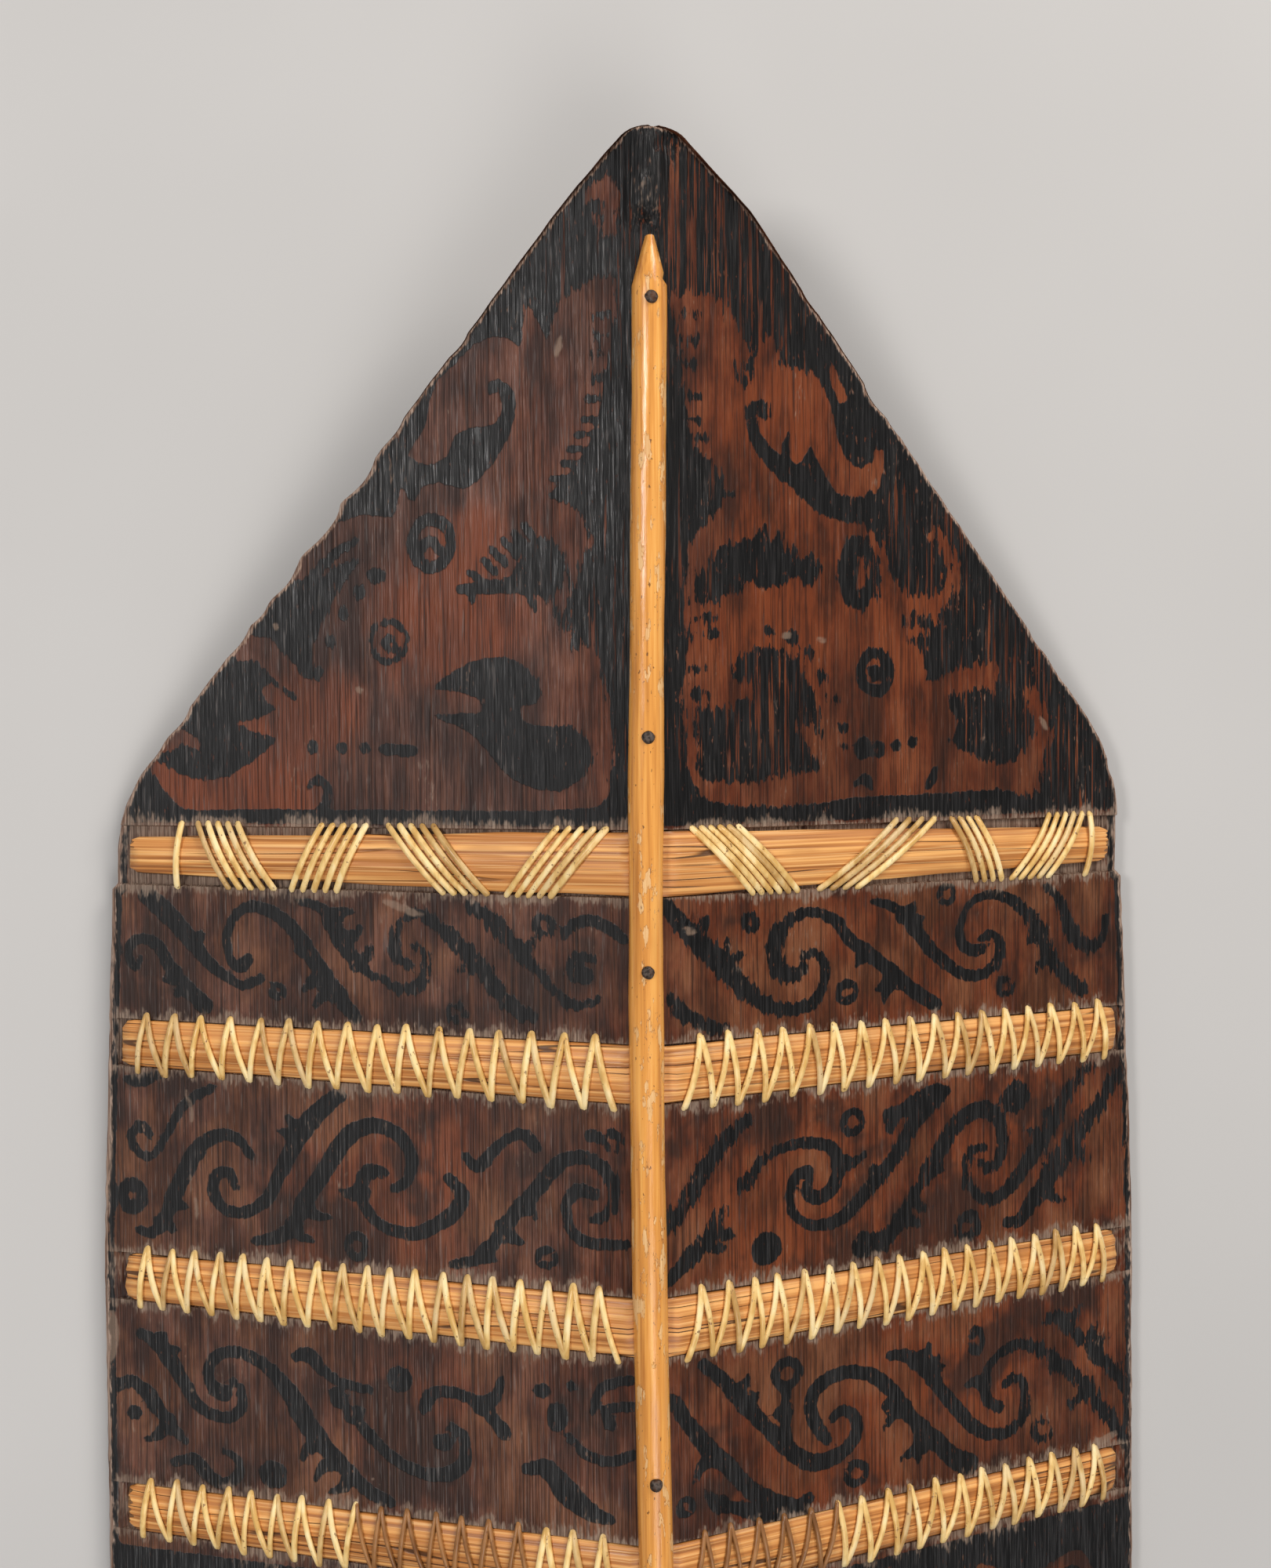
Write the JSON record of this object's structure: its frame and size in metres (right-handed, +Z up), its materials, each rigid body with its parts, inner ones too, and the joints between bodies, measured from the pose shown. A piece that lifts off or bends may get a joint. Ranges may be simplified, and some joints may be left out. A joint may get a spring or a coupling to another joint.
{
  "type": "ceremonial shield",
  "caption": "Long pointed wooden shield with a roof-shaped face, painted scrollwork, laced cane splints across it, a nailed cane along the ridge and a carved hand grip.",
  "frame": {"origin": "on the floor under the middle of the shield as it lies face up", "axes": "+Y along the shield towards the end that points up when it is carried, +Z up out of the face, +X to the right of a viewer facing the front"},
  "size_m": [0.408, 1.2, 0.0989],
  "materials": {
    "wood": "worn, hand polished, painted black in places",
    "ridge_cane": "glossy natural skin",
    "splint": "satin",
    "lacing": "satin",
    "iron": "dull, rusted"
  },
  "bodies": {
    "root": {"board": "wood", "ridge_cane": "ridge_cane", "ridge_nail_1": "iron", "ridge_nail_2": "iron", "ridge_nail_3": "iron", "ridge_nail_4": "iron", "ridge_nail_5": "iron", "ridge_nail_6": "iron", "ridge_nail_7": "iron", "ridge_nail_8": "iron", "ridge_nail_9": "iron", "cross_splint_1": "splint", "cross_splint_2": "splint", "cross_splint_3": "splint", "cross_splint_4": "splint", "cross_splint_5": "splint", "cross_splint_6": "splint", "cross_splint_7": "splint", "cross_splint_8": "splint", "lacing_1": "lacing", "lacing_2": "lacing", "lacing_3": "lacing", "lacing_4": "lacing", "lacing_5": "lacing", "lacing_6": "lacing", "lacing_7": "lacing", "lacing_8": "lacing"}
  },
  "joints": []
}
